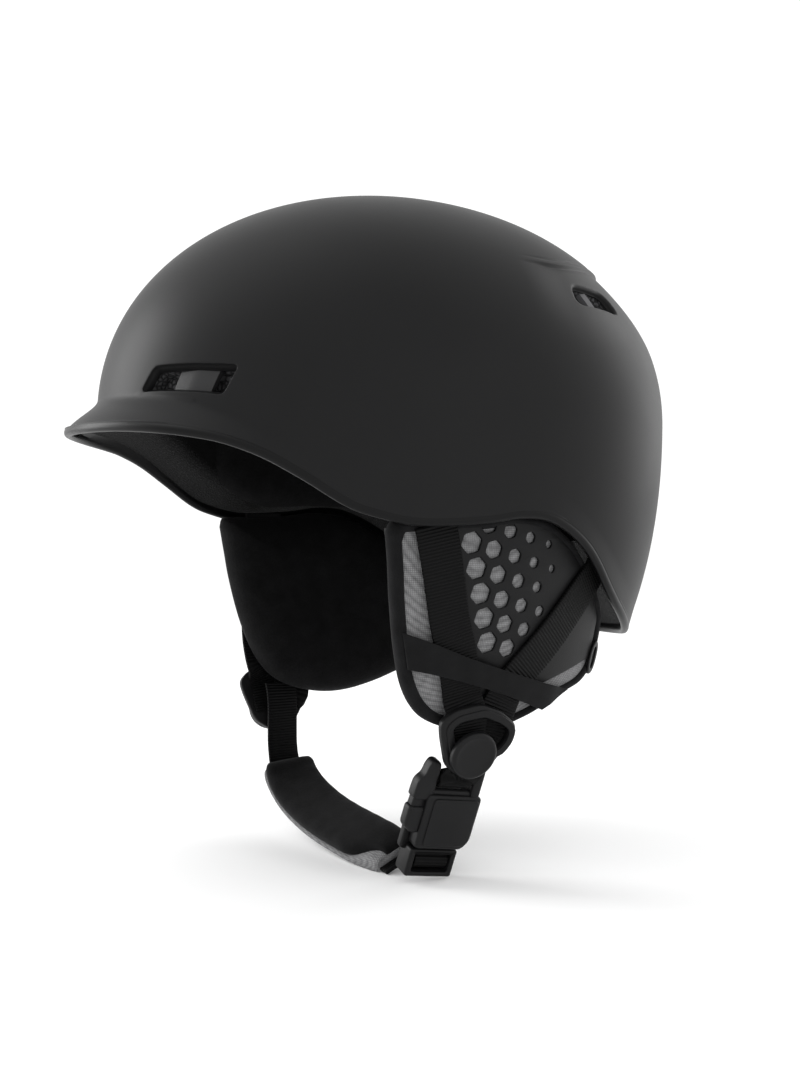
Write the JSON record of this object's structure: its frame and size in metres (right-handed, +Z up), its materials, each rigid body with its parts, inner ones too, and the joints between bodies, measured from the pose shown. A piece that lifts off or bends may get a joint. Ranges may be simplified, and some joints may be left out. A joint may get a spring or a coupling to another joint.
{
  "type": "ski helmet",
  "caption": "Matte low-profile snow helmet with slotted vents, padded ear flaps, webbing straps, padded chin strap and a sliding magnetic chin buckle.",
  "frame": {"origin": "middle of the head opening, level with the ear cut-out", "axes": "+Z up to the crown, -Y to the brow, +X to the wearer's left ear"},
  "size_m": [0.21, 0.2759, 0.2933],
  "materials": {
    "shell": "matte moulded polycarbonate, very fine texture",
    "foam": "expanded bead foam, dark grey",
    "vent_bar": "moulded bar, satin",
    "fleece": "brushed black fleece over foam",
    "pad_foam": "soft open-cell foam",
    "mesh": "grey woven spacer mesh",
    "panel": "moulded flexible panel with hexagonal holes",
    "webbing": "ribbed black webbing",
    "elastic": "smooth black elastic",
    "hardware": "moulded acetal, fine matte",
    "cradle": "flexible moulded nape cradle",
    "magnet": "nickel-plated magnet"
  },
  "bodies": {
    "helmet": {"brow_pad": "fleece", "crown_pad": "fleece", "foam_liner": "foam", "left_front_vent_bar": "vent_bar", "left_rear_vent_bar": "vent_bar", "left_temple_pad": "fleece", "nape_cradle": "cradle", "nape_pad": "fleece", "outer_shell": "shell", "right_front_vent_bar": "vent_bar", "right_rear_vent_bar": "vent_bar", "right_temple_pad": "fleece", "strap_anchors": "hardware"},
    "left_flap": {"buckle_socket": "hardware", "left_buckle_strap": "webbing", "left_cable_port": "hardware", "left_ear_pad_band": "elastic", "left_ear_pad_foam": "pad_foam", "left_ear_pad_lining": "fleece", "left_ear_pad_mesh": "mesh", "left_ear_panel": "panel", "left_front_strap": "webbing", "left_rear_strap": "webbing", "left_strap_divider": "hardware", "left_strap_junction": "webbing", "socket_magnet": "magnet"},
    "right_flap": {"right_cable_port": "hardware", "right_ear_pad_band": "elastic", "right_ear_pad_foam": "pad_foam", "right_ear_pad_lining": "fleece", "right_ear_pad_mesh": "mesh", "right_ear_panel": "panel", "right_front_strap": "webbing", "right_rear_strap": "webbing", "right_strap_divider": "hardware", "right_strap_junction": "webbing"},
    "left_lock": {"left_divider_lock": "hardware"},
    "right_lock": {"right_divider_lock": "hardware"},
    "chin_strap": {"chin_pad": "fleece", "chin_pad_sleeve": "mesh", "chin_webbing": "webbing"},
    "slider": {"buckle_slider": "hardware", "slider_magnet": "magnet"}
  },
  "joints": [
    {"name": "left_flap_flex", "type": "hinge", "parent": "helmet", "child": "left_flap", "pos_m": [0.099, 0, 0.0025], "axis": [0, -1, 0], "range_deg": [0, 14], "stiffness_Nm_per_rad": 0.6, "springref_deg": -20.05},
    {"name": "right_flap_flex", "type": "hinge", "parent": "helmet", "child": "right_flap", "pos_m": [-0.099, 0, 0.0025], "axis": [0, 1, 0], "range_deg": [0, 14], "stiffness_Nm_per_rad": 0.6, "springref_deg": -20.05},
    {"name": "left_lock_flip", "type": "hinge", "parent": "left_flap", "child": "left_lock", "pos_m": [0.07506, 0.004, -0.10072], "axis": [0, 1, 0], "range_deg": [0, 60]},
    {"name": "right_lock_flip", "type": "hinge", "parent": "right_flap", "child": "right_lock", "pos_m": [-0.07506, -0.022, -0.10072], "axis": [0, -1, 0], "range_deg": [0, 60]},
    {"name": "chin_strap_swing", "type": "hinge", "parent": "right_flap", "child": "chin_strap", "pos_m": [-0.07, -0.024, -0.104], "axis": [-0.557, 0.371, 0.743], "range_deg": [0, 18]},
    {"name": "buckle_release", "type": "slide", "parent": "chin_strap", "child": "slider", "axis": [0, -1, 0], "range_m": [0, 0.016]}
  ]
}
